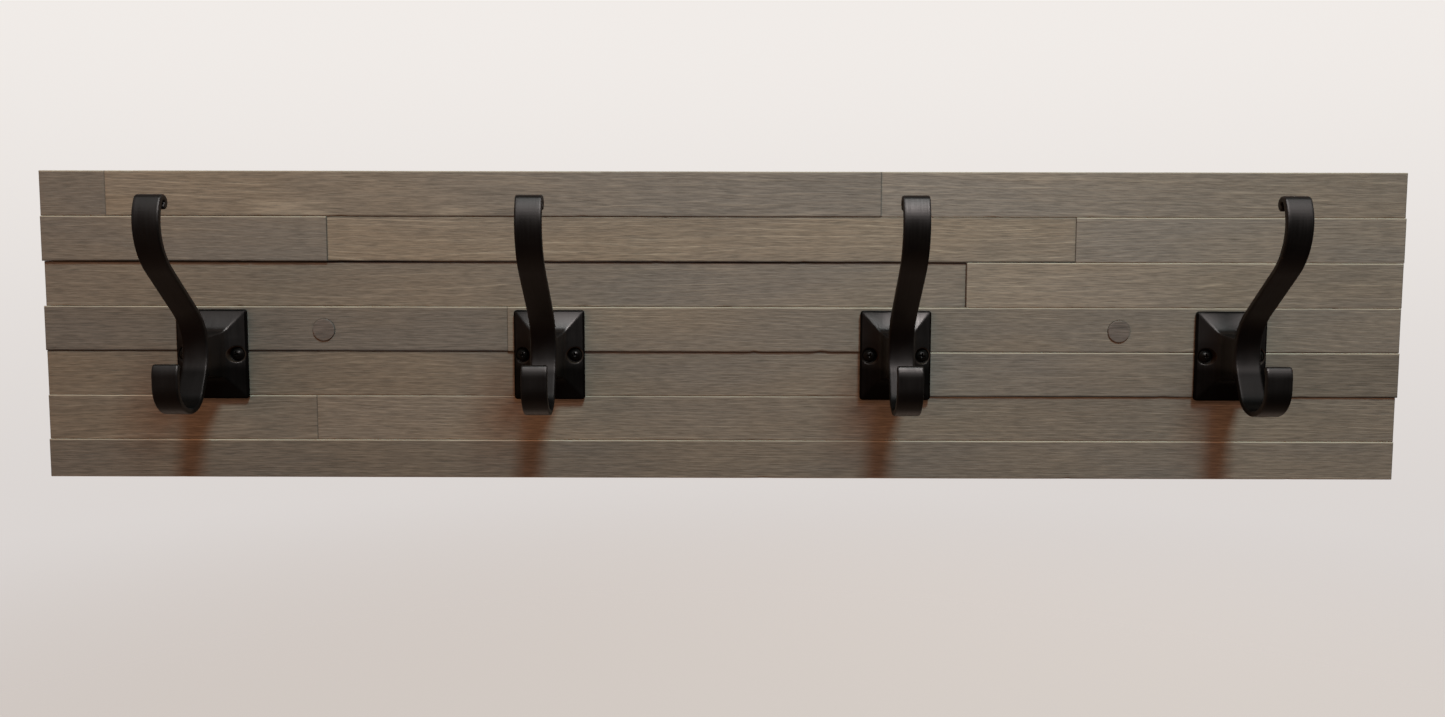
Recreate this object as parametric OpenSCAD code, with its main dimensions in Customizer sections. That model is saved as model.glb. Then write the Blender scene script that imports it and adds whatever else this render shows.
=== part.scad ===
// Wall hook rack: seven rows of staggered wooden slats on a backing panel, four cast double
// hooks, their screws, and two plugs over the holes for the wall screws.
// Origin at the centre of the wall face. +X to the right, +Z up, the front faces -Y.

/* [Board] */
// Nominal width of the board
board_w = 914.4; // [900:0.1:1200]
// Thickness of the backing panel
panel_t = 18; // [12:0.5:25]
// How far the panel's edges lie inside the slats' edges
panel_inset = 1; // [0:0.5:5]
// Nominal thickness of a slat
slat_t = 10; // [8:0.5:15]
// Height of a slat
slat_h = 30; // [28:0.1:36]
// Height of the narrower slat in the bottom row
bottom_slat_h = 25.8; // [20:0.1:30]
// Gap between rows
row_gap = 0.2; // [0.1:0.1:1]
// Chamfer along a slat's front edges
slat_chamfer = 0.5; // [0.2:0.1:1]

/* [Wall fixing] */
// Distance of each wall screw hole from the middle of the board
wall_hole_x = 268.3; // [200:0.1:300]
// Height of the wall screw holes
wall_hole_z = -2.8; // [-6:0.1:2]
// Radius of the wall screw's clearance hole
wall_hole_r = 2.75; // [2:0.05:3.5]
// Radius of the pocket that the plug closes
plug_hole_r = 7.5; // [6:0.1:8]
// Radial clearance of a plug in its pocket
plug_clearance = 0.05; // [0.02:0.01:0.1]
// Length of a plug inside the slat
plug_depth = 6; // [4:0.5:7]
// How far a plug stands out of its slat
plug_proud = 0.8; // [0.3:0.1:1.5]

/* [Hook plate] */
// Height of the plate's centre on the board, where its screws miss the seam above
hook_z = -19.2; // [-22:0.1:-19.2]
// Width of the plate
plate_w = 47.6; // [46:0.1:52]
// Height of the plate
plate_h = 60.3; // [56:0.1:66]
// Thickness of the plate's rim
rim_t = 3; // [2.5:0.1:4]
// Radius of the plate's corners
plate_corner_r = 2; // [1:0.1:3]
// Flat lip between the rim's edge and the foot of the crown
lip = 0.8; // [0.4:0.1:1.2]
// How far the crown's top stands out on each side of the strap
crown_ledge = 0.5; // [0.3:0.1:1]

/* [Hook strap] */
// Width of the strap
strap_w = 16.5; // [14:0.1:18]
// Thickness of the strap
strap_t = 3.7; // [3.4:0.1:4]
// Distance from the plate's back to the middle of the strap at its spine
spine_out = 24.7; // [24:0.1:25]
// Height of the spine's vertical point above the plate's centre
spine_up = 4.2; // [3:0.1:6]

/* [Hook screws] */
// Distance between the two screws of a hook
screw_spacing = 35; // [33:0.1:36]
// Radius of the screw seat sunk into the crown
seat_r = 5.2; // [4.8:0.1:5.3]
// Radius of the screw hole in the plate
screw_hole_r = 2.1; // [2:0.05:2.5]
// Radius of the screw's shank
screw_r = 1.75; // [1.5:0.05:2]
// Length of the screw under its head
screw_l = 20; // [18:0.5:24]
// Radius of the screw's head
head_r = 4.1; // [3.5:0.1:4.5]
// Height of the screw's head
head_h = 2.6; // [2:0.1:3]

/* [Hidden] */
$fn = 64;
// How far joined solids run into each other, and cuts past the faces that they open
overlap = 0.5;
past = 1;
wood_grey = [0.40, 0.38, 0.34];
wood_warm = [0.46, 0.41, 0.33];
wood_edge = [0.52, 0.45, 0.35];
bronze = [0.10, 0.08, 0.07];
steel_dark = [0.16, 0.15, 0.14];

// From the top row down: steps of the left and right end from the nominal end, the butt joints
// between slats, and how far each slat stands out from the nominal front.
rows = [
    [0.8, 0.9, [-412.5, 107.1], [0.4, 0.6, 0.0]],
    [0.5, 1.2, [-264.6, 237.9], [0.8, 0.2, 0.6]],
    [1.1, 0.6, [165.1], [-0.9, 1.0]],
    [0.2, 0.4, [-144.0], [0.4, 1.0]],
    [0.6, 0.7, [118.0], [-0.2, 1.2]],
    [0.3, -0.1, [-274.3], [0.1, 0.1]],
    [-0.2, 0.0, [], [0.5]],
];
plug_row = 3;
screw_row = 4;
row_count = len(rows);
row_pitch = slat_h + row_gap;
board_h = (row_count - 1) * row_pitch + bottom_slat_h;
front = panel_t + slat_t;

// Hooks from left to right: name, place along the board, the proudest slat under the plate, and
// how far the casting's strap is twisted to the right.
hooks = [
    ["hook_far_left", -343.2, 0.4, 0],
    ["hook_mid_left", -115.5, 1.0, 0.7],
    ["hook_mid_right", 117.6, 1.2, -0.4],
    ["hook_far_right", 343.1, 1.2, 1.7],
];
plugs = [["plug_left", -1, rows[plug_row][3][0]], ["plug_right", 1, rows[plug_row][3][1]]];
pilot_clearance = 0.05;
plug_chamfer = 0.5;

// The strap's two runs from the spine's vertical point, as [length] for a straight stretch and
// [radius, turn] for a bend. A positive turn leans the upper arm out from the wall.
bend_step = 5;
upper_run = [[33.4, 49.4], [40.6], [37.4, -50.8], [31.6, -24.8], [3, -212.5]];
lower_run = [[40, -18], [60, -6], [10], [16.6, -156], [6.9], [14, -25]];
// The crown's outline seen from the side, in from its foot: gently rising, then steep
crown_foot_slope = 14;
crown_run = [[47, 14], [7.2, 54], [13.2]];

// Unit vector along a heading, which is the angle from straight up towards the front, and the
// unit vector to its right
function along(a) = [sin(a), cos(a)];
function beside(a) = [cos(a), -sin(a)];

// One segment's stations, each a point and a heading
function straight(p, a, length) = [[p + length * along(a), a]];
function bend(p, a, r, turn) =
    let (n = ceil(abs(turn) / bend_step), side = sign(turn), c = p + side * r * beside(a))
    [for (i = [1 : n]) let (b = a + turn * i / n) [c - side * r * beside(b), b]];
function segment(p, a, s) = len(s) == 1 ? straight(p, a, s[0]) : bend(p, a, s[0], s[1]);

// All stations of a run, starting from station s
function run(s, segments, i = 0) =
    i == len(segments) ? [] :
    let (new = segment(s[0], s[1], segments[i]))
    concat(new, run(new[len(new) - 1], segments, i + 1));

function reversed(v) = [for (i = [len(v) - 1 : -1 : 0]) v[i]];

// The strap from its lower tip to its rolled upper end
spine = [spine_out, spine_up];
strap_stations = concat(
    [for (s = reversed(run([spine, 180], lower_run))) [s[0], s[1] + 180]],
    [[spine, 0]],
    run([spine, 0], upper_run)
);
function side_points(stations, offset) = [for (s = stations) s[0] + offset * beside(s[1])];
// Half circle round the end of the strap at station s, from its right side to its left
function round_end(s) = [for (b = [15 : 15 : 165]) s[0] + strap_t / 2 * beside(s[1] - b)];
strap_first = strap_stations[0];
strap_last = strap_stations[len(strap_stations) - 1];
strap_outline = concat(
    side_points(strap_stations, strap_t / 2),
    round_end(strap_last),
    reversed(side_points(strap_stations, -strap_t / 2)),
    round_end([strap_first[0], strap_first[1] + 180])
);

// The crown's outline from its foot to its top, as [half height, distance to the front], and the
// same for its width, with every point in proportion
crown_foot = [plate_h / 2 - lip, rim_t];
crown_high = concat([crown_foot], [
    for (s = run([crown_foot, crown_foot_slope - 90], crown_run)) s[0]
]);
crown_top = crown_high[len(crown_high) - 1];
crown_top_x = strap_w / 2 + crown_ledge;
crown_spread = (plate_w / 2 - lip - crown_top_x) / (crown_foot[0] - crown_top[0]);
crown_wide = [for (p = crown_high) [crown_top_x + crown_spread * (p[0] - crown_top[0]), p[1]]];
crown_root = rim_t - overlap;

function row_h(r) = r == row_count - 1 ? bottom_slat_h : slat_h;
function row_bottom(r) = board_h / 2 - r * row_pitch - row_h(r);
function row_ends(r) = [rows[r][0] - board_w / 2, rows[r][1] + board_w / 2];
function slat_count(r) = len(rows[r][3]);
// Left end of slat k: the row's end, or half a gap past a butt joint. The right end likewise.
function slat_left(r, k) = k == 0 ? row_ends(r)[0] : rows[r][2][k - 1] + row_gap / 2;
function slat_right(r, k) = k == slat_count(r) - 1 ? row_ends(r)[1] : rows[r][2][k] - row_gap / 2;
side_names = [["full"], ["left", "right"], ["left", "middle", "right"]];
function slat_name(r, k) = str("slat_row", r + 1, "_", side_names[slat_count(r) - 1][k]);

// Turns a shape drawn as [distance to the front, height] and extruded along its own Z so that
// it runs along X
module side_on() {
    rotate([90, 0, -90]) children();
}

// A cylinder that points to the front from depth y
module frontward(r, l) {
    rotate([90, 0, 0]) cylinder(r = r, h = l);
}

module wall_hole_places() {
    for (side = [-1, 1])
        translate([side * wall_hole_x, 0, wall_hole_z]) children();
}

// Every hook screw's place on the wall plane
module screw_places() {
    for (h = hooks)
        for (side = [-1, 1])
            translate([h[1] + side * screw_spacing / 2, 0, hook_z]) children();
}

module pilot_holes() {
    depth = screw_l - rim_t - slat_t;
    screw_places()
        translate([0, depth - panel_t + past, 0])
            frontward(screw_r + pilot_clearance, front);
}

module backing_panel() {
    w = board_w - 2 * panel_inset;
    h = board_h - 2 * panel_inset;
    color(wood_edge)
        difference() {
            translate([-w / 2, -panel_t, -h / 2]) cube([w, panel_t, h]);
            wall_hole_places()
                translate([0, past, 0]) frontward(wall_hole_r, panel_t + 2 * past);
            pilot_holes();
        }
}

module slat(r, k) {
    left = slat_left(r, k);
    right = slat_right(r, k);
    t = slat_t + rows[r][3][k];
    h = row_h(r);
    c = slat_chamfer;
    section = [[0, 0], [t - c, 0], [t, c], [t, h - c], [t - c, h], [0, h]];
    color((r + k) % 2 == 0 ? wood_grey : wood_warm)
        difference() {
            translate([right, -panel_t, row_bottom(r)])
                side_on() linear_extrude(right - left) polygon(section);
            if (r == plug_row)
                wall_hole_places()
                    translate([0, past - panel_t, 0]) frontward(plug_hole_r, t + 2 * past);
            if (r == screw_row)
                pilot_holes();
        }
}

module plate_slab() {
    w = plate_w / 2 - plate_corner_r;
    h = plate_h / 2 - plate_corner_r;
    translate([-w, -rim_t, -plate_h / 2]) cube([2 * w, rim_t, plate_h]);
    translate([-plate_w / 2, -rim_t, -h]) cube([plate_w, rim_t, 2 * h]);
    for (x = [-w, w])
        for (z = [-h, h])
            translate([x, 0, z]) frontward(plate_corner_r, rim_t);
}

// Raised centre of the plate: where its outline from the side and its outline from above meet,
// with a seat for each screw cut down to the slab
module crown() {
    foot_x = crown_wide[0][0];
    foot_z = crown_foot[0];
    difference() {
        intersection() {
            side_on() linear_extrude(2 * foot_x, center = true)
                polygon(concat(
                    [[crown_root, foot_z]],
                    [for (p = crown_high) [p[1], p[0]]],
                    [for (p = reversed(crown_high)) [p[1], -p[0]]],
                    [[crown_root, -foot_z]]
                ));
            linear_extrude(2 * foot_z, center = true)
                polygon(concat(
                    [[foot_x, -crown_root]],
                    [for (p = crown_wide) [p[0], -p[1]]],
                    [for (p = reversed(crown_wide)) [-p[0], -p[1]]],
                    [[-foot_x, -crown_root]]
                ));
        }
        for (side = [-1, 1])
            translate([side * screw_spacing / 2, 0, 0]) frontward(seat_r, 2 * crown_top[1]);
    }
}

module strap() {
    side_on() linear_extrude(strap_w, center = true) polygon(strap_outline);
}

// One casting: plate, crown and the double-ended strap, twisted about its spine
module hook(twist) {
    difference() {
        plate_slab();
        for (side = [-1, 1])
            translate([side * screw_spacing / 2, past, 0])
                frontward(screw_hole_r, rim_t + 2 * past);
    }
    crown();
    translate([0, -spine_out, 0])
        rotate([0, 0, twist])
            translate([0, spine_out, 0]) strap();
}

module hook_in_place(h) {
    color(bronze) translate([h[1], -front - h[2], hook_z]) hook(h[3]);
}

// Round-headed wood screw with a cross recess, its head's underside on the seat
module hook_screw() {
    dome_r = (head_r * head_r + head_h * head_h) / (2 * head_h);
    slot_w = 1;
    slot_l = 4.4;
    slot_depth = 1.5;
    difference() {
        intersection() {
            frontward(head_r, head_h);
            translate([0, dome_r - head_h, 0]) sphere(r = dome_r);
        }
        for (a = [0, 90])
            rotate([0, a, 0])
                translate([-slot_l / 2, -head_h - overlap, -slot_w / 2])
                    cube([slot_l, slot_depth + overlap, slot_w]);
    }
    translate([0, screw_l, 0]) frontward(screw_r, screw_l + overlap);
}

module hook_screws() {
    color(steel_dark)
        for (h = hooks)
            for (side = [-1, 1])
                translate([h[1] + side * screw_spacing / 2, -front - h[2] - rim_t, hook_z])
                    hook_screw();
}

// Round plug with an eased edge, seated in its pocket over a wall screw
module plug(p) {
    r = plug_hole_r - plug_clearance;
    l = plug_depth + plug_proud;
    c = plug_chamfer;
    section = [[0, 0], [r, 0], [r, l - c], [r - c, l], [0, l]];
    color(wood_grey)
        translate([p[1] * wall_hole_x, plug_depth - front - p[2], wall_hole_z])
            rotate([90, 0, 0]) rotate_extrude() polygon(section);
}

backing_panel();
for (r = [0 : row_count - 1])
    for (k = [0 : slat_count(r) - 1])
        slat(r, k);
for (h = hooks)
    hook_in_place(h);
hook_screws();
for (p = plugs)
    plug(p);
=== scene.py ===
"""The looks of a wall hook rack: stained slats on a plywood panel, four cast hooks and two plugs.

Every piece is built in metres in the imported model's frame: +X to the right along the board, +Z up,
the wall at y = 0 and the front towards -Y. Each mesh replaces the plain CAD node that it stands for.
"""
import math
import random

import bmesh
import bpy
from mathutils import Euler, Matrix, Vector, noise


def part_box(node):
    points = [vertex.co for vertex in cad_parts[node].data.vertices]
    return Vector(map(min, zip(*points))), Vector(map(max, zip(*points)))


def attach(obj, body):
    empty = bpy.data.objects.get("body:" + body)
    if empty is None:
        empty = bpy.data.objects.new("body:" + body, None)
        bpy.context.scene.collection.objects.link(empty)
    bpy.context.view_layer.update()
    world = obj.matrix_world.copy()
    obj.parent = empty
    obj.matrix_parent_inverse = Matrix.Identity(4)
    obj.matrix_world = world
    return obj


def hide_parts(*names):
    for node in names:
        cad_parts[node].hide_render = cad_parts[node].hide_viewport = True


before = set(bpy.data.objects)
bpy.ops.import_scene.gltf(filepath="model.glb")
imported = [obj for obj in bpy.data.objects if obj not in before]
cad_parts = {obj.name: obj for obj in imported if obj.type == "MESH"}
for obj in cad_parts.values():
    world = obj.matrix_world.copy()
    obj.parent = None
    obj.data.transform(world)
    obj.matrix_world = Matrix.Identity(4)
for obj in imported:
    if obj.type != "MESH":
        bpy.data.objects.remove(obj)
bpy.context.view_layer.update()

MM = 0.001

# Slats, from the top row down. In each style, in order: warm is how far the stain is rubbed back to the
# wood at the left and right end. Next comes the brightness there, partly the slat's own tone and partly a
# painted fall-off of the light, brighter on the upper rows. pith is how far the heart lies above the
# slat's middle, slope the fall of the grain and figure the strength of the growth rings. Last comes how
# pale the lower
# and upper front edges are: pale wear with a painted highlight on the lit top edges, or, below zero, how
# dark a painted shade is along the joint where one slat stands proud of the next.
SLATS = {
    "slat_row1_left": dict(
        warm=(0.1, 0.1), tone_and_painted_falloff=(0.93, 0.95), pith=70, slope=0.4, figure=0.5, wear_and_painted_light=(0.2, 0.8)),
    "slat_row1_middle": dict(
        warm=(1.0, 0.0), tone_and_painted_falloff=(1.06, 1.27), pith=-14, slope=-0.5, figure=1.0, wear_and_painted_light=(-0.4, 0.8)),
    "slat_row1_right": dict(
        warm=(0.1, 0.4), tone_and_painted_falloff=(1.43, 1.10), pith=24, slope=-1.2, figure=0.9, wear_and_painted_light=(0.2, 0.8)),
    "slat_row2_left": dict(
        warm=(0.2, 0.2), tone_and_painted_falloff=(0.92, 1.09), pith=46, slope=-0.8, figure=0.7, wear_and_painted_light=(-0.9, 0.8)),
    "slat_row2_middle": dict(
        warm=(0.9, 0.6), tone_and_painted_falloff=(1.11, 1.23), pith=-20, slope=0.5, figure=1.1, wear_and_painted_light=(-0.9, -0.3)),
    "slat_row2_right": dict(
        warm=(0.1, 0.2), tone_and_painted_falloff=(1.35, 1.16), pith=60, slope=0.3, figure=0.6, wear_and_painted_light=(0.2, 0.8)),
    "slat_row3_left": dict(
        warm=(0.7, 0.1), tone_and_painted_falloff=(0.88, 1.23), pith=-34, slope=0.3, figure=0.8, wear_and_painted_light=(0.2, -1.0)),
    "slat_row3_right": dict(
        warm=(0.7, 0.3), tone_and_painted_falloff=(1.37, 1.06), pith=18, slope=-0.9, figure=1.0, wear_and_painted_light=(0.2, 1.0)),
    "slat_row4_left": dict(
        warm=(0.1, 0.2), tone_and_painted_falloff=(0.79, 0.96), pith=90, slope=0.2, figure=0.5, wear_and_painted_light=(-0.8, 0.9)),
    "slat_row4_right": dict(
        warm=(0.5, 0.2), tone_and_painted_falloff=(1.06, 1.08), pith=-26, slope=-0.3, figure=0.9, wear_and_painted_light=(-0.4, 0.9)),
    "slat_row5_left": dict(
        warm=(0.8, 0.3), tone_and_painted_falloff=(0.76, 1.04), pith=40, slope=0.4, figure=0.7, wear_and_painted_light=(0.2, -0.6)),
    "slat_row5_right": dict(
        warm=(0.1, 0.2), tone_and_painted_falloff=(1.15, 0.84), pith=-70, slope=0.2, figure=0.6, wear_and_painted_light=(-0.8, 1.0)),
    "slat_row6_left": dict(
        warm=(0.9, 0.6), tone_and_painted_falloff=(0.77, 0.91), pith=-18, slope=0.6, figure=0.9, wear_and_painted_light=(0.2, 0.9)),
    "slat_row6_right": dict(
        warm=(0.6, 0.4), tone_and_painted_falloff=(0.98, 0.96), pith=30, slope=-0.2, figure=0.9, wear_and_painted_light=(0.2, 0.5)),
    "slat_row7_full": dict(
        warm=(0.4, 0.2), tone_and_painted_falloff=(0.74, 1.00), pith=-60, slope=0.1, figure=0.6, wear_and_painted_light=(0.2, 0.9)),
}
STAIN_COOL = (0.158, 0.130, 0.106)
STAIN_WARM = (0.207, 0.156, 0.110)
STAIN_DARK = (0.072, 0.060, 0.048)
WOOD_PALE = (0.410, 0.330, 0.245)
# Painted shade: the dark colour of the bands along a joint where one slat stands proud of the next.
PAINTED_GAP_SHADE = (0.012, 0.010, 0.009)
PLUGS = ("plug_left", "plug_right")
PLUG_STYLE = dict(
    warm=(0.4, 0.4), tone_and_painted_falloff=(0.84, 0.84), pith=40, slope=0.5, figure=0.4, wear_and_painted_light=(0, 0),
    stains=((0.145, 0.115, 0.098), (0.170, 0.130, 0.105)))
PLIES = 7

# The hook's casting, in its own frame: x across, p out from the back of its plate, z up. Runs are
# straights (length,) and bends (radius, turn) in millimetres and degrees. The number after each
# hook's name is how far its strap is twisted to the right.
HOOKS = {"hook_far_left": 0.0, "hook_mid_left": 0.7, "hook_mid_right": -0.4, "hook_far_right": 1.7}
PLATE_W, PLATE_H, RIM_T, CORNER_R, LIP = 47.6 * MM, 60.3 * MM, 3 * MM, 2 * MM, 0.8 * MM
CROWN_TOP_W, CROWN_FOOT_SLOPE = 17.5 * MM, 14
CROWN_RUN = [(47, 14), (7.2, 54), (13.2,)]
STRAP_W, STRAP_T, STRAP_EDGE_R = 16.5 * MM, 3.7 * MM, 0.9 * MM
SPINE = (24.7 * MM, 4.2 * MM)
UPPER_RUN = [(33.4, 49.4), (40.6,), (37.4, -50.8), (31.6, -24.8), (3, -212.5)]
LOWER_RUN = [(40, -18), (60, -6), (10,), (16.6, -156), (6.9,), (14, -25)]
SEAT_R, SCREW_HOLE_R, SCREW_SPACING = 5.2 * MM, 2.1 * MM, 35 * MM

# Screws, plugs and the holes for them
SCREW_L, PILOT_R = 20 * MM, 1.8 * MM
PLUG_HOLE_R, PLUG_HOLE_BEVEL, WALL_SCREW_R = 7.5 * MM, 0.35 * MM, 2.75 * MM

# How far the slats reach into the gaps between them, the angle of a hard edge, and the floor
GAP_FILL = 0.06 * MM
HARD_EDGE = math.radians(42)
FLOOR_Z = -0.62

rng = random.Random(11)


def new_object(name, bm):
    """A smooth-shaded object made from a bmesh, with its hard edges kept."""
    bmesh.ops.recalc_face_normals(bm, faces=bm.faces)
    mesh = bpy.data.meshes.new(name)
    bm.to_mesh(mesh)
    bm.free()
    mesh.shade_smooth()
    mesh.set_sharp_from_angle(angle=HARD_EDGE)
    obj = bpy.data.objects.new(name, mesh)
    bpy.context.scene.collection.objects.link(obj)
    return obj


def loft(bm, loops):
    """Skins closed loops of points in order and caps both ends."""
    rings = [[bm.verts.new(p) for p in loop] for loop in loops]
    count = len(rings[0])
    for a, b in zip(rings, rings[1:]):
        for i in range(count):
            j = (i + 1) % count
            bm.faces.new((a[i], a[j], b[j], b[i]))
    bm.faces.new(rings[0])
    bm.faces.new(reversed(rings[-1]))


def lathe(bm, profile, segments):
    """Turns (radius, p) points round the piece's own axis, which points to the front."""
    turns = [math.tau * i / segments for i in range(segments)]
    loft(bm, [[(r * math.cos(a), -p, r * math.sin(a)) for a in turns] for r, p in profile])


def apply_modifiers(obj):
    """Makes the modified mesh the object's own."""
    graph = bpy.context.evaluated_depsgraph_get()
    mesh = bpy.data.meshes.new_from_object(obj.evaluated_get(graph))
    mesh.name = obj.data.name
    obj.modifiers.clear()
    obj.data = mesh


def cut(obj, cutters):
    """Subtracts closed cutters from a mesh and removes them."""
    for cutter in cutters:
        step = obj.modifiers.new("cut", "BOOLEAN")
        step.operation = "DIFFERENCE"
        step.solver = "EXACT"
        step.object = cutter
    bpy.context.view_layer.update()
    apply_modifiers(obj)
    for cutter in cutters:
        bpy.data.objects.remove(cutter)
    obj.data.shade_smooth()
    obj.data.set_sharp_from_angle(angle=HARD_EDGE)


def drill(profile, place, segments=48):
    """A turned cutter at a place, from (radius, p) points."""
    bm = bmesh.new()
    lathe(bm, profile, segments)
    bmesh.ops.translate(bm, verts=bm.verts, vec=place)
    return new_object("cutter", bm)


def rounded_rectangle(half_w, half_h, r, steps=6):
    """Points (across, up) round a rectangle with round corners."""
    points = []
    for turn, sx, sz in ((0, 1, 1), (1, -1, 1), (2, -1, -1), (3, 1, -1)):
        for i in range(steps + 1):
            a = math.pi / 2 * (turn + i / steps)
            points.append((sx * (half_w - r) + r * math.cos(a), sz * (half_h - r) + r * math.sin(a)))
    return points


def solid_boxes(node):
    """The box of each separate solid in a CAD node, from left to right."""
    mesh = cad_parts[node].data
    bm = bmesh.new()
    bm.from_mesh(mesh)
    bmesh.ops.remove_doubles(bm, verts=bm.verts, dist=1e-6)
    left, found = set(bm.verts), []
    while left:
        stack, island = [left.pop()], []
        while stack:
            v = stack.pop()
            island.append(v.co.copy())
            for e in v.link_edges:
                w = e.other_vert(v)
                if w in left:
                    left.remove(w)
                    stack.append(w)
        lo = Vector([min(c[k] for c in island) for k in range(3)])
        hi = Vector([max(c[k] for c in island) for k in range(3)])
        found.append((lo, hi))
    bm.free()
    return sorted(found, key=lambda b: b[0].x)


# ---------------------------------------------------------------- shader helpers


class Shader:
    """Adds shader nodes to a material or world. Each call returns the new node's output socket."""

    def __init__(self, owner):
        self.owner = owner
        owner.use_nodes = True
        self.tree = owner.node_tree
        self.tree.nodes.clear()

    def node(self, kind, inputs=(), out=0, **settings):
        made = self.tree.nodes.new(kind)
        for key, value in settings.items():
            setattr(made, key, value)
        for key, value in dict(inputs).items():
            socket = made.inputs[key]
            if isinstance(value, bpy.types.NodeSocket):
                self.tree.links.new(value, socket)
            else:
                socket.default_value = value
        return made.outputs[out]

    def place(self):
        return self.node("ShaderNodeTexCoord", out="Object")

    def mapped(self, where, scale=(1, 1, 1), shift=(0, 0, 0), turn=(0, 0, 0)):
        inputs = {"Vector": where, "Scale": scale, "Location": shift, "Rotation": turn}
        return self.node("ShaderNodeMapping", inputs)

    def noise(self, where, detail=3.0, roughness=0.5, distortion=0.0):
        inputs = {"Vector": where, "Scale": 1.0, "Detail": detail, "Roughness": roughness}
        inputs["Distortion"] = distortion
        return self.node("ShaderNodeTexNoise", inputs, out="Fac")

    def math(self, operation, a, b=0.0, c=0.0, clamp=False):
        return self.node("ShaderNodeMath", {0: a, 1: b, 2: c}, operation=operation, use_clamp=clamp)

    def span(self, value, low, high, to_low=0.0, to_high=1.0, smooth=True):
        inputs = {"Value": value, "From Min": low, "From Max": high, "To Min": to_low, "To Max": to_high}
        kind = "SMOOTHSTEP" if smooth else "LINEAR"
        return self.node("ShaderNodeMapRange", inputs, interpolation_type=kind)

    def mix(self, factor, a, b, kind="MIX"):
        made = self.tree.nodes.new("ShaderNodeMix")
        made.data_type = "RGBA"
        made.blend_type = kind
        for socket, value in zip((made.inputs[0], made.inputs[6], made.inputs[7]), (factor, a, b)):
            if isinstance(value, bpy.types.NodeSocket):
                self.tree.links.new(value, socket)
            else:
                socket.default_value = (*value, 1.0) if isinstance(value, tuple) else value
        return made.outputs[2]

    def split(self, where):
        made = self.tree.nodes.new("ShaderNodeSeparateXYZ")
        self.tree.links.new(where, made.inputs[0])
        return made.outputs

    def join(self, x, y, z):
        return self.node("ShaderNodeCombineXYZ", {0: x, 1: y, 2: z})

    def length(self, where):
        return self.node("ShaderNodeVectorMath", {0: where}, out="Value", operation="LENGTH")

    def bump(self, height, distance, strength):
        return self.node("ShaderNodeBump", {"Height": height, "Distance": distance, "Strength": strength})

    def finish(self, **sockets):
        made = self.tree.nodes.new("ShaderNodeBsdfPrincipled")
        for key, value in sockets.items():
            socket = made.inputs[key.replace("_", " ")]
            if isinstance(value, bpy.types.NodeSocket):
                self.tree.links.new(value, socket)
            else:
                socket.default_value = value
        out = self.tree.nodes.new("ShaderNodeOutputMaterial")
        self.tree.links.new(made.outputs[0], out.inputs[0])
        return self.owner


# ---------------------------------------------------------------- materials


def edge_wear_and_painted_light(s, colour, place, box, wear_and_painted_light, broken):
    """Pale front edges, which are wear with a painted highlight on the lit top edges, or, where the
    amount is below zero, wider dark bands of painted shade along the joints, and dark end grain.
    """
    lo, hi = box
    x, y, z = s.split(place)
    front = s.span(y, lo.y + 2.5 * MM, lo.y + 1.2 * MM)
    front = s.math("MULTIPLY", front, s.span(broken, 0.30, 0.62, 0.6, 1.0))
    # Pale amounts are wear with a painted highlight. Amounts below zero paint shade along the joint.
    for amount, rim, way in zip(wear_and_painted_light, (lo.z, hi.z), (1, -1)):
        reach = (1.1 if amount > 0 else 1.4) * MM
        band = s.span(z, rim + way * reach, rim + way * reach / 4)
        edge = s.math("MULTIPLY", s.math("MULTIPLY", band, front), abs(amount))
        colour = s.mix(edge, colour, WOOD_PALE if amount > 0 else PAINTED_GAP_SHADE)

    left = s.span(x, lo.x + 0.5 * MM, lo.x + 0.1 * MM)
    right = s.span(x, hi.x - 0.5 * MM, hi.x - 0.1 * MM)
    end = s.math("MAXIMUM", left, right)
    return s.mix(s.math("MULTIPLY", end, 0.55), colour, STAIN_DARK)


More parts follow.
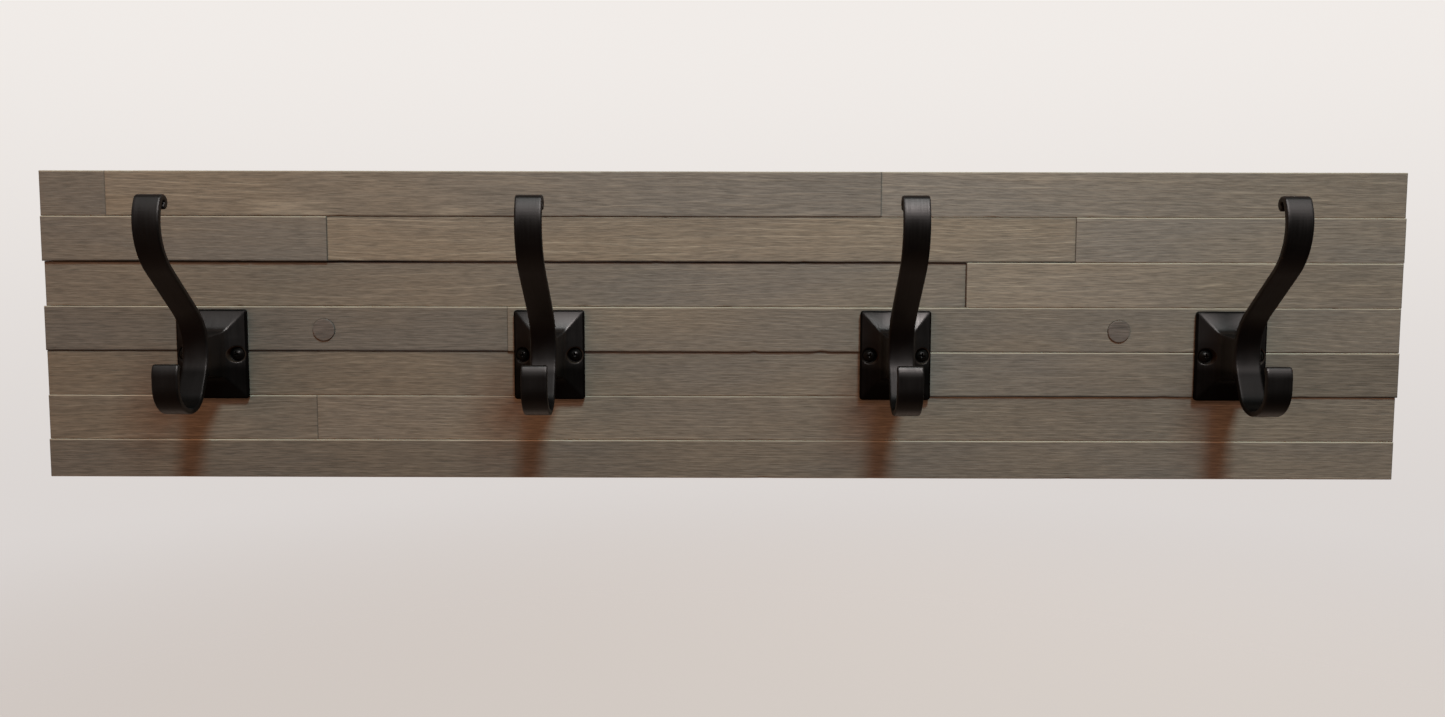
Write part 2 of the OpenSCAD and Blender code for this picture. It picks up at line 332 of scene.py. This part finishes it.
def stained_wood(name, box, warm, tone_and_painted_falloff, pith, slope, figure, wear_and_painted_light, seed, stains=(STAIN_COOL, STAIN_WARM)):
    """Flat-sawn softwood with a grey stain, its grain along X, for a piece in this box."""
    lo, hi = box
    chance = random.Random(seed)
    s = Shader(bpy.data.materials.new(name))
    place = s.place()
    shift = (chance.uniform(-9, 9), chance.uniform(-1, 1), chance.uniform(-9, 9))
    middle = (lo + hi) / 2
    local = s.mapped(place, shift=(-middle.x, -lo.y, -middle.z))
    local = s.mapped(local, turn=(0, math.radians(slope), 0))
    x, y, z = s.split(local)

    # growth rings: distance from a heart that wanders along the tree
    far = s.mapped(local, scale=(3.2, 14, 14), shift=shift)
    drift = s.noise(far, detail=2.0)
    depth = s.math("ADD", s.math("MULTIPLY_ADD", drift, 34 * MM, 6 * MM), y)
    ripple = s.noise(s.mapped(local, scale=(16, 60, 60), shift=shift), detail=2.0)
    across = s.math("ADD", s.math("MULTIPLY_ADD", ripple, 2.4 * MM, -pith * MM), z)
    radius = s.length(s.join(0.0, depth, across))
    rings = s.math("FRACT", s.math("DIVIDE", radius, chance.uniform(2.2, 3.4) * MM))
    late = s.math("MULTIPLY", s.span(rings, 0.55, 0.86), s.span(rings, 1.0, 0.88))

    # fibres, short pores and patches where the stain took more or less
    fibre = s.noise(s.mapped(local, scale=(44, 820, 820), shift=shift), detail=4.0, roughness=0.62)
    thread = s.noise(s.mapped(local, scale=(90, 1400, 1400), shift=shift), detail=3.0, roughness=0.6)
    broken = s.noise(s.mapped(local, scale=(14, 210, 210), shift=shift), detail=3.0)
    patch = s.noise(s.mapped(local, scale=(7, 26, 26), shift=shift), detail=3.0, roughness=0.55)
    pores = s.noise(s.mapped(local, scale=(60, 1900, 1900), shift=shift), detail=2.0)

    half = (hi.x - lo.x) / 2
    share = s.span(x, -half, half, smooth=False)
    rubbed = s.span(share, 0.0, 1.0, *warm)
    rubbed = s.math("ADD", rubbed, s.span(patch, 0.3, 0.7, -0.26, 0.26), clamp=True)
    colour = s.mix(rubbed, *stains)
    light = s.math("MULTIPLY", late, s.span(broken, 0.38, 0.64))
    light = s.math("MULTIPLY", light, 0.34 * figure)
    streaks = s.math("MULTIPLY", s.span(fibre, 0.54, 0.74), s.span(broken, 0.46, 0.72))
    streaks = s.math("ADD", light, s.math("MULTIPLY", streaks, 0.26 * figure))
    streaks = s.math("MULTIPLY", streaks, s.span(rubbed, 0.0, 1.0, 0.45, 1.0))
    colour = s.mix(streaks, colour, WOOD_PALE)
    colour = s.mix(s.span(fibre, 0.5, 0.3, 0.0, 0.20), colour, STAIN_DARK)
    colour = s.mix(s.span(pores, 0.40, 0.26, 0.0, 0.5), colour, STAIN_DARK)
    # Brightness along the slat: partly its own tone and partly a painted fall-off of the light, times a
    # random thread of tone.
    shade = s.math("MULTIPLY", s.span(share, 0.0, 1.0, *tone_and_painted_falloff), s.span(thread, 0.28, 0.72, 0.76, 1.24))
    colour = s.mix(1.0, colour, s.join(shade, shade, shade), "MULTIPLY")
    colour = edge_wear_and_painted_light(s, colour, place, box, wear_and_painted_light, broken)

    height = s.math("ADD", s.math("MULTIPLY", fibre, 0.6), s.math("MULTIPLY", thread, 0.3))
    height = s.math("SUBTRACT", height, s.span(pores, 0.38, 0.22, 0.0, 0.5))
    height = s.math("ADD", height, s.math("MULTIPLY", late, 0.25))
    return s.finish(
        Base_Color=colour,
        Roughness=s.span(fibre, 0.2, 0.8, 0.74, 0.58),
        Specular_IOR_Level=0.3,
        Normal=s.bump(height, 0.16 * MM, 0.8),
    )


def plywood(name, box):
    """Birch plywood: a raw back face, stained edges with one tone per ply."""
    lo, hi = box
    s = Shader(bpy.data.materials.new(name))
    place = s.place()
    y = s.split(place)[1]
    ply = s.math("FLOOR", s.math("DIVIDE", y, (hi.y - lo.y) / PLIES))
    which = s.node("ShaderNodeTexWhiteNoise", {"W": ply}, out="Value", noise_dimensions="1D")
    grain = s.noise(s.mapped(place, scale=(9, 300, 420)), detail=4.0, roughness=0.6)
    figure = s.noise(s.mapped(place, scale=(2.2, 30, 22)), detail=3.0, distortion=0.8)
    bands = s.math("SINE", s.math("MULTIPLY", figure, 60.0))
    face = s.mix(s.span(bands, -0.8, 1.0, 0.0, 0.5), (0.46, 0.33, 0.19), (0.36, 0.24, 0.13))
    face = s.mix(s.span(grain, 0.35, 0.7, 0.0, 0.45), face, (0.27, 0.18, 0.10))
    ends = s.noise(s.mapped(place, scale=(420, 500, 420)), detail=2.0)
    edge = s.mix(which, (0.115, 0.098, 0.074), (0.185, 0.146, 0.098))
    edge = s.mix(s.span(ends, 0.4, 0.7, 0.0, 0.6), edge, (0.060, 0.050, 0.038))
    back = s.span(y, hi.y - 0.9 * MM, hi.y - 0.4 * MM)
    colour = s.mix(back, edge, face)
    height = s.math("ADD", grain, s.math("MULTIPLY", ends, 0.5))
    return s.finish(
        Base_Color=colour,
        Roughness=s.span(grain, 0.3, 0.7, 0.62, 0.8),
        Specular_IOR_Level=0.3,
        Normal=s.bump(height, 0.15 * MM, 0.6),
    )


def casting_finish(s, place, shine):
    """How glossy the casting is, and the pale lips of its screw seats, which are wear with a painted
    highlight.
    The gloss is turned down as painted shade in the seats, inside the lower hook and on the plate's rim,
    and turned up as a painted highlight on the crown's top."""
    x, y, z = s.split(place)
    wide, high = s.math("ABSOLUTE", x), s.math("ABSOLUTE", z)
    from_seat = s.length(s.join(s.math("SUBTRACT", wide, SCREW_SPACING / 2), 0.0, z))
    # The seats are turned dull as painted shade.
    gloss = s.span(from_seat, SEAT_R + 0.1 * MM, SEAT_R + 0.5 * MM, 0.08 * shine, shine)
    # Painted shade inside the lower hook, a painted highlight on the crown's top, and painted shade on
    # the plate's rim.
    inner = s.math("MULTIPLY", s.span(z, -3 * MM, -12 * MM), s.span(y, -54 * MM, -44 * MM))
    top = s.math("MULTIPLY", s.span(z, 6 * MM, 14 * MM), s.span(y, -16 * MM, -12 * MM))
    side = s.span(wide, PLATE_W / 2 - 1.5 * MM, PLATE_W / 2 - 1.0 * MM)
    rim = s.math("MAXIMUM", side, s.span(high, PLATE_H / 2 - 1.5 * MM, PLATE_H / 2 - 1.0 * MM))
    rim = s.math("MULTIPLY", rim, s.span(y, -6 * MM, -5 * MM))
    for zone, share in ((inner, 0.25), (top, 1.4), (rim, 0.12)):
        gloss = s.math("MULTIPLY", gloss, s.span(zone, 0.0, 1.0, 1.0, share))
    # The seat lip: wear with a painted highlight on the seat's rim.
    lip = s.span(from_seat, SEAT_R + 0.6 * MM, SEAT_R + 0.2 * MM)
    return gloss, s.math("MULTIPLY", lip, s.span(from_seat, SEAT_R - 0.4 * MM, SEAT_R))


def bronze(name, base, wear_and_painted_light, rough, wear, shine, casting=False):
    """Dark oil-rubbed bronze, brushed along the strap, with worn edges, and on the casting pale seat lips
    that are wear with a painted highlight. Its highlights spread across the brushing."""
    s = Shader(bpy.data.materials.new(name))
    place = s.place()
    brushed = s.noise(s.mapped(place, scale=(2200, 30, 30)), detail=3.0, roughness=0.6)
    cloud = s.noise(s.mapped(place, scale=(70, 70, 70)), detail=3.0)
    peel = s.noise(s.mapped(place, scale=(800, 800, 800)), detail=2.0)
    geometry = s.tree.nodes.new("ShaderNodeNewGeometry")
    edge = s.span(geometry.outputs["Pointiness"], 0.53, 0.60)
    edge = s.math("MULTIPLY", edge, s.span(cloud, 0.35, 0.65, 0.2, 1.0))
    gloss = shine
    if casting:
        gloss, lip = casting_finish(s, place, shine)
        edge = s.math("MAXIMUM", edge, s.math("MULTIPLY", lip, s.span(cloud, 0.3, 0.6)))
    colour = s.mix(s.span(cloud, 0.3, 0.7, 0.0, 0.5), base, tuple(1.8 * c for c in base))
    # Pale edge colour: wear on the edges, and on the seat lips wear with a painted highlight.
    colour = s.mix(s.math("MULTIPLY", edge, wear), colour, wear_and_painted_light)
    streak = s.span(brushed, 0.3, 0.7, rough - 0.05, rough + 0.05)
    roughness = s.math("ADD", streak, s.span(cloud, 0.3, 0.7, -0.03, 0.03))
    level = {0: geometry.outputs["Normal"], 1: (0, 0, 1)}
    height = s.math("ADD", s.math("MULTIPLY", brushed, 0.6), s.math("MULTIPLY", peel, 0.5))
    return s.finish(
        Base_Color=colour,
        Roughness=roughness,
        Specular_IOR_Level=gloss,
        Specular_Tint=(1.0, 0.80, 0.70, 1.0),
        Anisotropic=0.45,
        Tangent=s.node("ShaderNodeVectorMath", level, operation="CROSS_PRODUCT"),
        Normal=s.bump(height, 0.02 * MM, 0.6),
    )


# ---------------------------------------------------------------- slats


def slat(name):
    """A slat with eased, slightly uneven arrises and a faint relief of its grain."""
    lo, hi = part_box(name)
    near = Vector((GAP_FILL, 0, GAP_FILL))
    lo, hi = lo - near, hi + near
    seed = Vector((rng.uniform(-50, 50), rng.uniform(-50, 50), rng.uniform(-50, 50)))
    height, depth = hi.z - lo.z, hi.y - lo.y
    strips, arc, step = 22, 4, 3.2 * MM
    end_r = 0.15 * MM
    nicks = []
    for _ in range(int((hi.x - lo.x) / (70 * MM)) + 1):
        at, where = rng.uniform(lo.x, hi.x), rng.choice((0, 1))
        nicks.append((at, where, rng.uniform(0.3, 0.9) * MM, rng.uniform(1, 4) * MM))

    def arris(x, side):
        r = (0.62 + 0.30 * noise.noise(seed + Vector((x * 22, 3.0 * side, 0)))) * MM
        for at, where, deep, wide in nicks:
            if where == side:
                r += deep * math.exp(-((x - at) / wide) ** 2)
        return r

    def relief(x, z):
        fine = noise.noise(seed + Vector((x * 14, z * 420, 0)))
        broad = noise.noise(seed + Vector((x * 5, z * 40, 7)))
        return (0.05 + 0.03 * fine + 0.05 * broad) * MM

    def section(x, inset):
        low, high = arris(x, 0), arris(x, 1)
        points = [(hi.y, lo.z), (hi.y, hi.z)]
        points += [(hi.y - k * (depth - high) / 3, hi.z) for k in (1, 2)]
        centre = (lo.y + high, hi.z - high)
        points += [(centre[0] - high * math.sin(a), centre[1] + high * math.cos(a))
                   for a in (math.pi / 2 * i / arc for i in range(arc + 1))]
        for i in range(1, strips):
            z = hi.z - high - (height - low - high) * i / strips
            points.append((lo.y + relief(x, z), z))
        centre = (lo.y + low, lo.z + low)
        points += [(centre[0] - low * math.cos(a), centre[1] - low * math.sin(a))
                   for a in (math.pi / 2 * i / arc for i in range(arc + 1))]
        points += [(hi.y - k * (depth - low) / 3, lo.z) for k in (2, 1)]
        mid_y, mid_z = (lo.y + hi.y) / 2, (lo.z + hi.z) / 2
        fy, fz = 1 - 2 * inset / depth, 1 - 2 * inset / height
        return [(x, mid_y + (py - mid_y) * fy, mid_z + (pz - mid_z) * fz) for py, pz in points]

    inner = hi.x - lo.x - 2 * end_r
    count = max(4, round(inner / step))
    loops = []
    for i in range(4):
        a = math.pi / 2 * i / 4
        loops.append(section(lo.x + end_r * (1 - math.cos(a)), end_r * (1 - math.sin(a))))
    loops += [section(lo.x + end_r + inner * i / count, 0.0) for i in range(count + 1)]
    for i in range(3, -1, -1):
        a = math.pi / 2 * i / 4
        loops.append(section(hi.x - end_r * (1 - math.cos(a)), end_r * (1 - math.sin(a))))
    bm = bmesh.new()
    loft(bm, loops)
    return new_object(name.replace("slat", "stained"), bm)


def panel():
    """The plywood backing, its plies slightly uneven round all four edges."""
    lo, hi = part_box("backing_panel")
    middle = (lo + hi) / 2
    ply = (hi.y - lo.y) / PLIES
    half_w, half_h = (hi.x - lo.x) / 2, (hi.z - lo.z) / 2
    outline = []
    for sx, sz, dx, dz, length in ((1, -1, 0, 1, 2 * half_h), (1, 1, -1, 0, 2 * half_w),
                                   (-1, 1, 0, -1, 2 * half_h), (-1, -1, 1, 0, 2 * half_w)):
        count = round(length / (9 * MM))
        for i in range(count):
            at = length * i / count
            outline.append((sx * half_w + dx * at, sz * half_h + dz * at))

    def ring(y, inset, uneven):
        points = []
        for x, z in outline:
            d = inset + uneven * (0.5 + noise.noise(Vector((x * 30, y * 900, z * 30))))
            points.append((middle.x + x * (1 - d / half_w), y, middle.z + z * (1 - d / half_h)))
        return points

    loops = [ring(lo.y, 0.5 * MM, 0)]
    for k in range(PLIES):
        y = lo.y + k * ply
        uneven = 0.30 * MM if k % 2 else 0.12 * MM
        first = 0.30 * MM if k else 0.2 * MM
        loops.append(ring(y + first, 0, uneven))
        loops.append(ring(y + ply / 2, 0, uneven))
        loops.append(ring(y + ply - 0.30 * MM, 0, uneven))
        if k < PLIES - 1:
            loops.append(ring(y + ply, 0.22 * MM, uneven))
    loops.append(ring(hi.y, 0.5 * MM, 0))
    bm = bmesh.new()
    loft(bm, loops)
    return new_object("plywood_panel", bm)


# ---------------------------------------------------------------- hooks


def along(a):
    """The way of a heading in (out, up): 0 is up, and a quarter turn is out from the wall."""
    return Vector((math.sin(a), math.cos(a)))


def beside(a):
    """The way a quarter turn on from a heading."""
    return Vector((math.cos(a), -math.sin(a)))


def run(start, heading, segments):
    """Stations (point, heading) after a start, along straights and bends."""
    point, a = Vector(start), heading
    out = []
    for segment in segments:
        if len(segment) == 1:
            count = math.ceil(segment[0] / 2.5)
            corner = point
            for i in range(1, count + 1):
                point = corner + along(a) * segment[0] * MM * i / count
                out.append((point, a))
            continue
        r, turn = segment[0] * MM, math.radians(segment[1])
        side = math.copysign(1, turn)
        centre, before = point + side * r * beside(a), a
        count = math.ceil(max(abs(segment[1]) / 6, abs(r * turn) / (2.0 * MM)))
        for i in range(1, count + 1):
            a = before + turn * i / count
            point = centre - side * r * beside(a)
            out.append((point, a))
    return out


def strap(bm):
    """The double-ended strap, a flat bar with soft edges and round ends."""
    down = [(p, a + math.pi) for p, a in reversed(run(SPINE, math.pi, LOWER_RUN))]
    stations = down + [(Vector(SPINE), 0.0)] + run(SPINE, 0.0, UPPER_RUN)
    steps = 6

    def section(point, a, half_t, half_w):
        r = min(STRAP_EDGE_R, half_t * 0.98)
        flat = rounded_rectangle(half_w, half_t, r, 4)
        return [(w, -(point + beside(a) * t).x, (point + beside(a) * t).y) for w, t in flat]

    def end(point, a, way):
        out = []
        for i in range(1, steps + 1):
            b = math.radians(84) * i / steps
            tip = point + along(a) * way * STRAP_T / 2 * math.sin(b)
            half_w = STRAP_W / 2 - STRAP_EDGE_R * (1 - math.cos(b))
            out.append(section(tip, a, STRAP_T / 2 * math.cos(b), half_w))
        return out

    loops = [section(p, a, STRAP_T / 2, STRAP_W / 2) for p, a in stations]
    loops = end(*stations[0], -1)[::-1] + loops + end(*stations[-1], 1)
    loft(bm, loops)


def plate(bm):
    """Plate and crown in one skin, with a soft rim and soft ridges."""
    soft = 0.7 * MM
    shapes = [(0.0, 0.3 * MM), (0.3 * MM, 0.0)]
    for i in range(7):
        b = math.pi / 2 * i / 6
        shapes.append((RIM_T - soft + soft * math.sin(b), soft * (1 - math.cos(b))))
    loops = [(t, PLATE_W / 2 - inset, PLATE_H / 2 - inset, CORNER_R) for t, inset in shapes]
    foot = Vector((PLATE_H / 2 - LIP, RIM_T))
    rise = [foot] + [point for point, _ in run(foot, math.radians(CROWN_FOOT_SLOPE - 90), CROWN_RUN)]
    top = rise[-1]
    spread = (PLATE_W / 2 - LIP - CROWN_TOP_W / 2) / (foot.x - top.x)
    for k, point in enumerate(rise):
        half_w = CROWN_TOP_W / 2 + spread * (point.x - top.x)
        loops.append((point.y, half_w, point.x, (0.9 - 0.3 * k / len(rise)) * MM))
    loft(bm, [[(w, -t, h) for w, h in rounded_rectangle(hw, hh, r, 5)] for t, hw, hh, r in loops])


def hook_mesh():
    """One casting: plate, crown and strap run into each other with small fillets."""
    bm = bmesh.new()
    plate(bm)
    casting = new_object("casting", bm)
    seat = [(SCREW_HOLE_R, -1 * MM), (SCREW_HOLE_R, RIM_T), (SEAT_R, RIM_T), (SEAT_R, 30 * MM)]
    cut(casting, [drill(seat, (side * SCREW_SPACING / 2, 0, 0)) for side in (-1, 1)])
    bm = bmesh.new()
    bm.from_mesh(casting.data)
    strap(bm)
    bmesh.ops.recalc_face_normals(bm, faces=bm.faces)
    bm.to_mesh(casting.data)
    bm.free()
    melt = casting.modifiers.new("melt", "REMESH")
    melt.mode = "VOXEL"
    melt.voxel_size = 0.5 * MM
    soften = casting.modifiers.new("soften", "SMOOTH")
    soften.factor, soften.iterations = 0.5, 3
    apply_modifiers(casting)
    mesh = casting.data
    bpy.data.objects.remove(casting)
    mesh.shade_smooth()
    return mesh


def twisted(mesh, degrees):
    """A copy of the casting with its strap turned about the spine."""
    mesh = mesh.copy()
    lean = math.sin(math.radians(degrees))
    for vertex in mesh.vertices:
        x, y, z = vertex.co
        out = -y - SPINE[0]
        if out > 0:
            share = min(1.0, out / (2 * MM))
            vertex.co = (x + lean * out, y + lean * x * share, z)
    return mesh


# ---------------------------------------------------------------- screws and plugs


def hook_screw(bm, place, turn):
    """A domed wood screw with a threaded shank and a point."""
    head_r, head_h, crest_r, core_r, neck_r = 4.1 * MM, 2.6 * MM, 1.75 * MM, 1.2 * MM, 1.5 * MM
    thread_l, point_l, pitch = 14 * MM, 3.2 * MM, 1.3 * MM
    segments, rows_per_turn = 24, 8
    facing = Matrix.Rotation(turn, 3, "Y")

    def ring(radius, p):
        points = []
        for k in range(segments):
            r = radius(k / segments) if callable(radius) else radius
            a = math.tau * k / segments
            points.append(place + facing @ Vector((r * math.cos(a), -p, r * math.sin(a))))
        return points

    rows = int(thread_l / pitch * rows_per_turn)
    rings = []
    for i in range(rows + 1):
        p = -SCREW_L + thread_l * i / rows
        point = min(1.0, (p + SCREW_L) / point_l)
        fade = min(1.0, (rows - i) / (2 * rows_per_turn))

        def thread(share):
            crest = max(0.0, 1 - abs((p / pitch - share) % 1.0 - 0.5) * 3.4)
            return max(0.06 * MM, (core_r + (crest_r - core_r) * crest * fade) * point)

        rings.append(ring(thread, p))
    for r, p in ((core_r, -5.6), (neck_r, -5.2), (neck_r, -0.6), (1.9 * MM, 0), (head_r - 0.15 * MM, 0)):
        rings.append(ring(r, p * MM))
    rings.append(ring(head_r, 0.18 * MM))
    dome = (head_r ** 2 + head_h ** 2) / (2 * head_h)
    for i in range(1, 12):
        p = head_h * (0.10 + 0.9 * i / 12)
        rings.append(ring(math.sqrt(dome ** 2 - (p + dome - head_h) ** 2), p))
    rings.append(ring(0.25 * MM, head_h))
    loft(bm, rings)


def recess(place, turn):
    """Two tapered bars that cut a screw's cross."""
    cutters = []
    for a in (0, math.pi / 2):
        facing = Matrix.Rotation(turn + a, 3, "Y")
        loops = []
        for p, half_l, half_w in ((0.75, 0.7, 0.32), (1.2, 1.5, 0.42), (3.2, 2.5, 0.62)):
            outline = rounded_rectangle(half_l * MM, half_w * MM, 0.2 * MM, 2)
            loops.append([place + facing @ Vector((x, -p * MM, z)) for x, z in outline])
        bm = bmesh.new()
        loft(bm, loops)
        cutters.append(new_object("cutter", bm))
    return cutters


def screws(places):
    """All eight screws as one object, their crosses turned at random."""
    bm = bmesh.new()
    cutters = []
    for place in places:
        turn = rng.uniform(0, math.pi / 2)
        hook_screw(bm, place, turn)
        cutters += recess(place, turn)
    obj = new_object("cross_recess_screws", bm)
    cut(obj, cutters)
    return obj


def plug(name):
    """A turned plug with an eased, faintly dished face."""
    lo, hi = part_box(name)
    middle = (lo + hi) / 2
    r, length = (hi.x - lo.x) / 2, hi.y - lo.y
    soft = 0.45 * MM
    profile = [(r - 0.6 * MM, 0.0), (r - 0.1 * MM, 0.5 * MM), (r, 1.0 * MM)]
    for i in range(6):
        b = math.pi / 2 * i / 5
        profile.append((r - soft * (1 - math.cos(b)), length - soft * (1 - math.sin(b))))
    profile += [(r * f, length - 0.06 * MM * (1 - f)) for f in (0.75, 0.5, 0.25, 0.02)]
    bm = bmesh.new()
    lathe(bm, profile, 72)
    bmesh.ops.translate(bm, verts=bm.verts, vec=(middle.x, hi.y, middle.z))
    return new_object(name.replace("plug", "turned_plug"), bm)


# ---------------------------------------------------------------- the rack


def dress(obj, material):
    """Gives a piece its only material, under a slot name."""
    obj.data.materials.clear()
    obj.data.materials.append(material)


def pilots(tips, box):
    """Cutters for the pilot holes of the hook screws that end within a box's width."""
    hole = [(PILOT_R, 0.0), (PILOT_R, 2 * SCREW_L)]
    return [drill(hole, (x, y + 0.2 * MM, z), 24) for x, y, z in tips if box[0].x < x < box[1].x]


def plug_hole(plug_name, box):
    """A cutter for a plug's bevelled hole through the slat in this box."""
    lo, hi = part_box(plug_name)
    middle = (lo + hi) / 2
    r, bevel, front = PLUG_HOLE_R, PLUG_HOLE_BEVEL, box[1].y - box[0].y
    profile = [(r, -1 * MM), (r, front - bevel), (r + bevel, front)]
    profile.append((r + bevel + 1 * MM, front + 1 * MM))
    return drill(profile, (middle.x, box[1].y, middle.z), 72)


def wall_screw_hole(plug_name, box):
    """A cutter for a wall screw's hole behind a plug, through the panel in this box."""
    lo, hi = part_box(plug_name)
    place = ((lo.x + hi.x) / 2, box[1].y, (lo.z + hi.z) / 2)
    deep = box[1].y - box[0].y + 2 * MM
    return drill([(WALL_SCREW_R, -1 * MM), (WALL_SCREW_R, deep)], place, 32)


def build_slats(tips):
    """All slats, row 4 with the plugs' holes and row 5 with the hook screws' pilot holes."""
    for k, (name, style) in enumerate(SLATS.items()):
        piece = slat(name)
        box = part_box(name)
        cutters = []
        if name.startswith("slat_row4"):
            cutters.append(plug_hole("plug_left" if name.endswith("left") else "plug_right", box))
        if name.startswith("slat_row5"):
            cutters += pilots(tips, box)
        if cutters:
            cut(piece, cutters)
        dress(piece, stained_wood("stain_" + name, box, seed=100 + k, **style))
        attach(piece, "rack")
        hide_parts(name)


def build_panel(tips):
    """The panel with its pilot holes and wall screw holes."""
    piece = panel()
    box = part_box("backing_panel")
    cut(piece, pilots(tips, box) + [wall_screw_hole(name, box) for name in PLUGS])
    dress(piece, plywood("birch_plywood", box))
    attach(piece, "rack")
    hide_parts("backing_panel")


def build_hooks(tips):
    """The four castings, each one midway between its two screws."""
    dark = bronze("oil_rubbed_bronze", (0.0020, 0.0016, 0.0014), (0.060, 0.036, 0.025), 0.46, 0.5, 0.75,
                  casting=True)
    casting = hook_mesh()
    for name, twist in HOOKS.items():
        lo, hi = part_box(name)
        pair = [tip for tip in tips if lo.x < tip[0] < hi.x]
        piece = bpy.data.objects.new(name.replace("hook", "cast_hook"), twisted(casting, twist))
        bpy.context.scene.collection.objects.link(piece)
        piece.location = (sum(tip[0] for tip in pair) / 2, hi.y, pair[0][2])
        dress(piece, dark)
        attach(piece, "rack")
        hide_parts(name)


def build_screws(tips):
    piece = screws([Vector((x, y - SCREW_L, z)) for x, y, z in tips])
    black = bronze("screw_black", (0.003, 0.0025, 0.0022), (0.05, 0.04, 0.035), 0.32, 0.3, 0.22)
    dress(piece, black)
    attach(piece, "rack")
    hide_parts("hook_screws")


def build_plugs():
    for k, name in enumerate(PLUGS):
        piece = plug(name)
        dress(piece, stained_wood("stain_" + name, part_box(name), seed=300 + k, **PLUG_STYLE))
        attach(piece, name)
        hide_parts(name)


def build():
    """Makes every piece of the rack in place of its CAD node. The holes and hooks are placed by
    the tips of the hook screws."""
    tips = [((lo.x + hi.x) / 2, hi.y, (lo.z + hi.z) / 2) for lo, hi in solid_boxes("hook_screws")]
    build_slats(tips)
    build_panel(tips)
    build_hooks(tips)
    build_screws(tips)
    build_plugs()


# ---------------------------------------------------------------- studio


def area_light(name, place, size, power, colour, shine=True, light=True):
    """A round lamp aimed at the rack, which can leave out its highlights or its light."""
    data = bpy.data.lights.new(name, "AREA")
    data.shape = "DISK"
    data.size = size
    data.energy = power
    data.color = colour
    obj = bpy.data.objects.new(name, data)
    obj.location = place
    obj.rotation_euler = (-Vector(place)).to_track_quat("-Z", "Y").to_euler()
    obj.visible_glossy = shine
    obj.visible_diffuse = light
    bpy.context.scene.collection.objects.link(obj)


def sky():
    """Pale where the camera sees it. The rack is lit by a warm room in front and a plainer one
    at its sides and behind, and mirrors a dark room that is a little warm on the left."""
    world = Shader(bpy.data.worlds.new("studio"))
    x, y, z = world.split(world.node("ShaderNodeTexCoord", out="Generated"))
    behind = world.span(y, 0.0, 0.2)
    seen = world.mix(world.span(z, -0.25, 0.25), (0.70, 0.66, 0.64), (0.88, 0.84, 0.81))
    felt = world.mix(world.span(z, -0.4, 0.9), (0.25, 0.137, 0.088), (0.62, 0.33, 0.21))
    felt = world.mix(world.span(world.math("ABSOLUTE", x), 0.70, 0.95), felt, (0.50, 0.40, 0.33))
    felt = world.mix(behind, felt, (0.42, 0.40, 0.38))
    mirrored = world.mix(world.span(x, -0.9, 0.3), (0.060, 0.034, 0.022), (0.005, 0.0045, 0.004))
    mirrored = world.mix(world.span(z, -0.75, -0.95), mirrored, (0.12, 0.100, 0.085))
    mirrored = world.mix(world.span(y, 0.15, 0.6), mirrored, (0.40, 0.32, 0.27))
    path = world.tree.nodes.new("ShaderNodeLightPath").outputs
    colour = world.mix(path["Is Diffuse Ray"], mirrored, felt)
    colour = world.mix(path["Is Camera Ray"], colour, seen)
    glow = world.node("ShaderNodeBackground", {"Color": colour})
    out = world.tree.nodes.new("ShaderNodeOutputWorld")
    world.tree.links.new(glow, out.inputs[0])
    return world.owner


def floor():
    """A pale floor that thins out into the sky."""
    bm = bmesh.new()
    rings = []
    segments = 64
    turns = [math.tau * i / segments for i in range(segments)]
    for r in (0.05, 1.0, 2.0, 3.0):
        rings.append([bm.verts.new((r * math.cos(a), r * math.sin(a), FLOOR_Z)) for a in turns])
    bm.faces.new(rings[0])
    for a, b in zip(rings, rings[1:]):
        for i in range(segments):
            j = (i + 1) % segments
            bm.faces.new((a[i], b[i], b[j], a[j]))
    piece = new_object("studio_floor", bm)
    s = Shader(bpy.data.materials.new("pale_floor"))
    far = s.length(s.place())
    piece.data.materials.append(s.finish(
        Base_Color=(0.16, 0.15, 0.14, 1.0),
        Roughness=0.9,
        Specular_IOR_Level=0.0,
        Emission_Color=(0.45, 0.405, 0.38, 1.0),
        Emission_Strength=1.0,
        Alpha=s.span(far, 2.7, 0.9),
    ))
    piece.visible_glossy = piece.visible_diffuse = False


def studio():
    """The lights, the floor and the camera, which stands where the photo was taken."""
    scene = bpy.context.scene
    scene.view_settings.view_transform = "Standard"
    scene.world = sky()
    area_light("key", (0.72, -1.9, 3.0), 0.75, 146, (0.53, 0.86, 0.96), shine=False)
    area_light("warm_fill", (-1.6, -1.2, 0.3), 1.6, 9, (1.0, 0.55, 0.33), shine=False)
    area_light("sheen", (0.46, -1.84, 1.45), 0.6, 35, (0.80, 0.88, 0.97), light=False)
    area_light("high_sheen", (0.30, -2.2, 2.7), 0.6, 38, (0.68, 0.90, 1.0), light=False)
    area_light("back_light", (1.2, 1.9, 1.3), 1.0, 40, (1.0, 0.97, 0.94), shine=False)
    floor()

    data = bpy.data.cameras.new("camera")
    data.sensor_width = 36
    data.lens = 27.06
    camera = bpy.data.objects.new("camera", data)
    camera.location = (0.003, -0.761, 0.0368)
    camera.rotation_euler = Euler((math.radians(90 - 4.565), math.radians(-0.119), math.radians(0.151)))
    scene.collection.objects.link(camera)
    scene.camera = camera


build()
studio()
